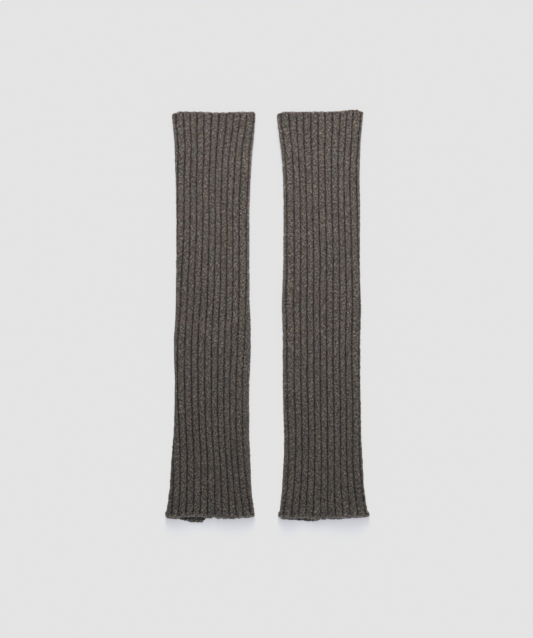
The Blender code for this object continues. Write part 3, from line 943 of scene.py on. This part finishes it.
def heatheredWool(name, stitched, light=1.0, greyer=0.0):
    # Marled yarn: flecks of colour spun into a brown ground, in soft patches. Each fleck is
    # a cell with three chances of its own: how light it is, how tan or grey, how dark.
    # tone = fleck x strand x patches x fibres, and the mottles stray each colour by itself.
    # The flecks' edges are frayed by the fibre noise. On the knit it is also x a chance for
    # each stitch x the painted shade of the grooves, between two courses and between a stitch's
    # legs x the painted highlight where the fuzz of the folds and the bottom hem catches light.
    r = Recipe(name)
    coords = r.node("TexCoord", {}, {}, "Object")
    if stitched:
        stitchMap = r.node("UVMap", {"uv_map": "stitches"}, {})
        kinds = ("flecks", "strands", "fraying")
        place, strandPlace, frayPlace = (r.vector("MULTIPLY", stitchMap, wool[k]) for k in kinds)
        frayScale, dimensions = 1.0, "2D"
    else:
        place = r.vector("SCALE", coords, wool["fleckScale"])
        strandPlace = r.vector("SCALE", coords, wool["strandScale"])
        frayPlace, frayScale, dimensions = coords, wool["fibreScale"], "3D"
    fibre = wool["fibreDetail"], wool["fibreRough"]
    fray = r.noise(frayPlace, frayScale, *fibre, "Color")
    place = r.vector("ADD", place, r.vector("SCALE", fray, wool["frayed"]))
    strandPlace = r.vector("ADD", strandPlace, r.vector("SCALE", fray, wool["strandsFrayed"]))
    cells = r.cells(place, dimensions)
    lightness = wool["unlike"] + r.channel(cells, "Red")
    for shift in wool["besides"]:
        # Light flecks lie by dark ones: what lies beside and below is taken off.
        there = r.channel(r.cells(r.vector("ADD", place, shift), dimensions), "Red")
        lightness = lightness - there * wool["unlike"]
    hue, depth = r.channel(cells, "Green"), r.channel(cells, "Blue")
    chances = {"lightness": lightness, "hue": hue, "depth": depth}
    colour = wool["ground"]
    for chance, low, high, most, into in wool["heather"]:
        colour = r.mix(r.spread(chances[chance], low, high) * most, colour, wool[into])
    colour = r.mix(greyer, colour, wool["grey"])
    mottles = r.noise(coords, wool["mottleScale"], output="Color")
    strayed = r.vector("MULTIPLY", r.vector("SUBTRACT", mottles, (0.5, 0.5, 0.5)), wool["mottle"])
    colour = r.vector("MULTIPLY", colour, r.vector("ADD", strayed, (1.0, 1.0, 1.0)))
    fibres = r.noise(coords, wool["fibreScale"], *fibre)
    tones = {
        "strandTone": r.channel(r.cells(strandPlace, dimensions), "Red"),
        "patchTone": r.noise(coords, wool["patchScale"], wool["patchDetail"]),
        "fibreTone": fibres,
    }
    height = fibres
    if stitched:
        # How far from the middle of its yarn a point is: across the leg, then up and down the
        # course, each 0 in the middle and 1 at the crease.
        wale, course = (r.node("SeparateXYZ", {}, {0: stitchMap}, k) for k in "XY")
        fromLeg = 4 * r.maths("ABSOLUTE", 0.25 - r.maths("PINGPONG", wale, 0.5))
        fromCrest = 2 * r.maths("PINGPONG", 0.5 + course, 0.5)
        stitch = {"Vector": r.vector("FLOOR", stitchMap)}
        tones["stitchTone"] = r.node("TexWhiteNoise", {"noise_dimensions": "2D"}, stitch)
        # Painted shade: darker down in the grooves.
        tones["paintedGrooveTone"] = r.attribute("grooveShade")
        # Painted highlight: lighter where the fuzz catches light.
        tones["fuzzHighlightTone"] = r.attribute("fuzzHighlight")
        # Painted shade between two courses and between a stitch's two legs.
        tones["courseShadeTone"] = fromCrest
        tones["legShadeTone"] = fromLeg
        # Two plies are twisted together: slanting waves along each leg.
        turns = (wale * wool["plyTurns"] + course) * (2 * math.pi)
        height = height + r.maths("SINE", turns) * wool["plyHigh"]
        height = height + r.spread(fromCrest, *wool["yarnRound"])
    tone = r.spread(lightness, *wool["fleckTone"], times=light)
    for key, value in tones.items():
        tone = tone * r.spread(value, *wool[key])
    bump = {"Strength": wool["bumpStrength"], "Distance": wool["bumpHigh"], "Height": height}
    finish = {
        "Base Color": r.vector("SCALE", colour, tone),
        "Roughness": wool["roughness"],
        "Specular IOR Level": wool["gloss"],
        "Sheen Weight": wool["sheen"],
        "Sheen Roughness": wool["sheenRoughness"],
        "Normal": r.node("Bump", {}, bump),
    }
    r.feed(r.shader, finish)
    return r.material


knitWool = heatheredWool("ribbed wool", stitched=True)
# The edge and halo copies of the wool are painted lighter by light, a painted highlight where their
# loops and loose fibres catch light, and the bound edge is also greyer. The seam's copy is painted
# darker, the painted shade of the groove it lies in.
boundWool = heatheredWool("wool of the bound edge", stitched=False, light=1.5, greyer=0.6)
castWool = heatheredWool("wool of the cast edge", stitched=False, light=1.35)
seamWool = heatheredWool("wool of the seam", stitched=False, light=0.8)
haloWool = heatheredWool("loose fibres", stitched=False, light=1.6)

for tube in tubes:
    piece = tube["knitPiece"]
    piece.data.materials.append(knitWool)
    for edge, finish in zip(tube["edges"], (boundWool, castWool, seamWool, haloWool)):
        edge.data.materials.append(finish)
    for each in (piece, *tube["edges"]):
        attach(each, "root")
        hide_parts(tube["node"])
print("wool done")


studio = {
    "floorSize": 60.0,
    "floorGap": 0.0002,
    "floorBright": (0.7755, 0.7760, 0.7765),  # in the open, all lights together
    "floorColour": 0.20,
    "ambient": 0.25,
    "ambientColour": (0.86, 1.0, 1.11),
    "keyPower": 5.35,
    "keyColour": (1.0, 0.90, 0.832),
    "keyPlace": (0.08, 0.30, 0.55),
    "keySize": (1.0, 0.4),
    "wallRound": 24.0,  # how far off the wall behind everything stands
    "wallHigh": 16.0,
    "wallSides": 96,
    # The suns that light the floor alone, from beyond the top hems, so that the shadow below
    # the bottom hems is long and soft: tilt, softness, and what each adds to the floor.
    "floorSuns": (
        (24.0, 18.0, (0.054, 0.053, 0.054)),
        (39.0, 14.0, (0.036, 0.038, 0.037)),
        (50.0, 10.0, (0.033, 0.037, 0.035)),
        (57.0, 7.0, (0.034, 0.034, 0.036)),
        (62.5, 6.0, (0.028, 0.029, 0.028)),
        (67.5, 6.0, (0.037, 0.038, 0.013)),
        (72.5, 6.0, (0.027, 0.020, 0.003)),
    ),
    "lens": 85.0,
    "sensor": 36.0,
    "viewHigh": 0.87725,  # how much of the floor the frame takes in, top to bottom
    "viewCentre": (-0.0009, -0.0039),
    "clip": (0.05, 50.0),
}


def added(name, data):
    thing = bpy.data.objects.new(name, data)
    scene.collection.objects.link(thing)
    return thing


def staged(thing, name, colour, roughness, glow):
    # One plain dull finish, which gives off light of its own.
    r = Recipe(name)
    finish = {
        "Base Color": (*colour, 1),
        "Roughness": roughness,
        "Specular IOR Level": 0.0,
        "Emission Color": (*glow, 1),
        "Emission Strength": 1.0,
    }
    r.feed(r.shader, finish)
    thing.data.materials.append(r.material)


def makeFloor():
    bpy.ops.mesh.primitive_plane_add(size=studio["floorSize"], location=(0, 0, -studio["floorGap"]))
    floor = bpy.context.object
    floor.name = "floor"
    # What the suns and the ambient light don't add, the floor gives itself.
    lit = sum(np.array(glow) for _, _, glow in studio["floorSuns"])
    lit = lit + studio["floorColour"] * studio["ambient"] * np.array(studio["ambientColour"])
    own = np.array(studio["floorBright"]) - lit
    staged(floor, "pale floor", (studio["floorColour"],) * 3, 1.0, own)
    return floor


def makeWall():
    # A pale wall far off all round, for low views: a ring carried straight up. Only the
    # camera sees it, so it takes no light from the cloth and gives it none.
    sides = studio["wallSides"]
    turn = np.arange(sides) * 2 * math.pi / sides
    ring = studio["wallRound"] * np.stack([np.cos(turn), np.sin(turn), 0 * turn], axis=-1)
    points = np.concatenate([ring - [0, 0, studio["floorGap"]], ring + [0, 0, studio["wallHigh"]]])
    mesh = bpy.data.meshes.new("wall")
    faces = gridFaces(np.arange(2 * sides).reshape(2, sides))
    mesh.from_pydata(points.tolist(), [], faces.tolist())
    mesh.shade_smooth()
    wall = added("wall", mesh)
    for kind in ("diffuse", "glossy", "transmission", "shadow", "volume_scatter"):
        setattr(wall, "visible_" + kind, False)
    staged(wall, "pale wall", (0, 0, 0), 0.5, studio["floorBright"])


def makeLights(floor):
    world = bpy.data.worlds.new("studio")
    scene.world = world
    world.use_nodes = True
    sky = world.node_tree.nodes["Background"]
    sky.inputs[0].default_value = (*studio["ambientColour"], 1)
    sky.inputs[1].default_value = studio["ambient"]
    # A wide soft light beyond the top hems falls off down the cloth. It points at the origin.
    key = bpy.data.lights.new("key", "AREA")
    key.shape = "RECTANGLE"
    key.size, key.size_y = studio["keySize"]
    key.energy = studio["keyPower"]
    key.color = studio["keyColour"]
    keyLamp = added("key", key)
    x, y, z = studio["keyPlace"]
    keyLamp.location = (x, y, z)
    keyLamp.rotation_euler = (math.atan2(math.hypot(x, y), z), 0, math.atan2(x, -y))
    keyLamp.light_linking.receiver_collection = wearables
    keyLamp.visible_camera = False
    onlyFloor = bpy.data.collections.new("floor_only")
    scene.collection.children.link(onlyFloor)
    onlyFloor.objects.link(floor)
    for tilt, softness, glow in studio["floorSuns"]:
        # A sun of strength s adds colour x s x cos(tilt) / pi.
        sun = bpy.data.lights.new("floor sun", "SUN")
        strength = np.array(glow) * math.pi / math.cos(math.radians(tilt)) / studio["floorColour"]
        sun.energy = strength.max()
        sun.color = strength / strength.max()
        sun.angle = math.radians(softness)
        sunLamp = added("floor sun", sun)
        sunLamp.rotation_euler = (-math.radians(tilt), 0, 0)
        sunLamp.light_linking.receiver_collection = onlyFloor


def makeCamera():
    # It looks straight down from so high that the frame takes in viewHigh, top to bottom:
    # high = viewHigh x lens / sensor, above the middle of the solids.
    lens = bpy.data.cameras.new("camera")
    lens.lens, lens.sensor_width = studio["lens"], studio["sensor"]
    lens.clip_start, lens.clip_end = studio["clip"]
    camera = added("camera", lens)
    high = studio["viewHigh"] * studio["lens"] / studio["sensor"]
    camera.location = (*studio["viewCentre"], cadBox[1][2] / 2 + high)
    bpy.context.scene.camera = camera


floor = makeFloor()
makeWall()
makeLights(floor)
makeCamera()
scene.view_settings.view_transform = "Standard"
print("studio done")
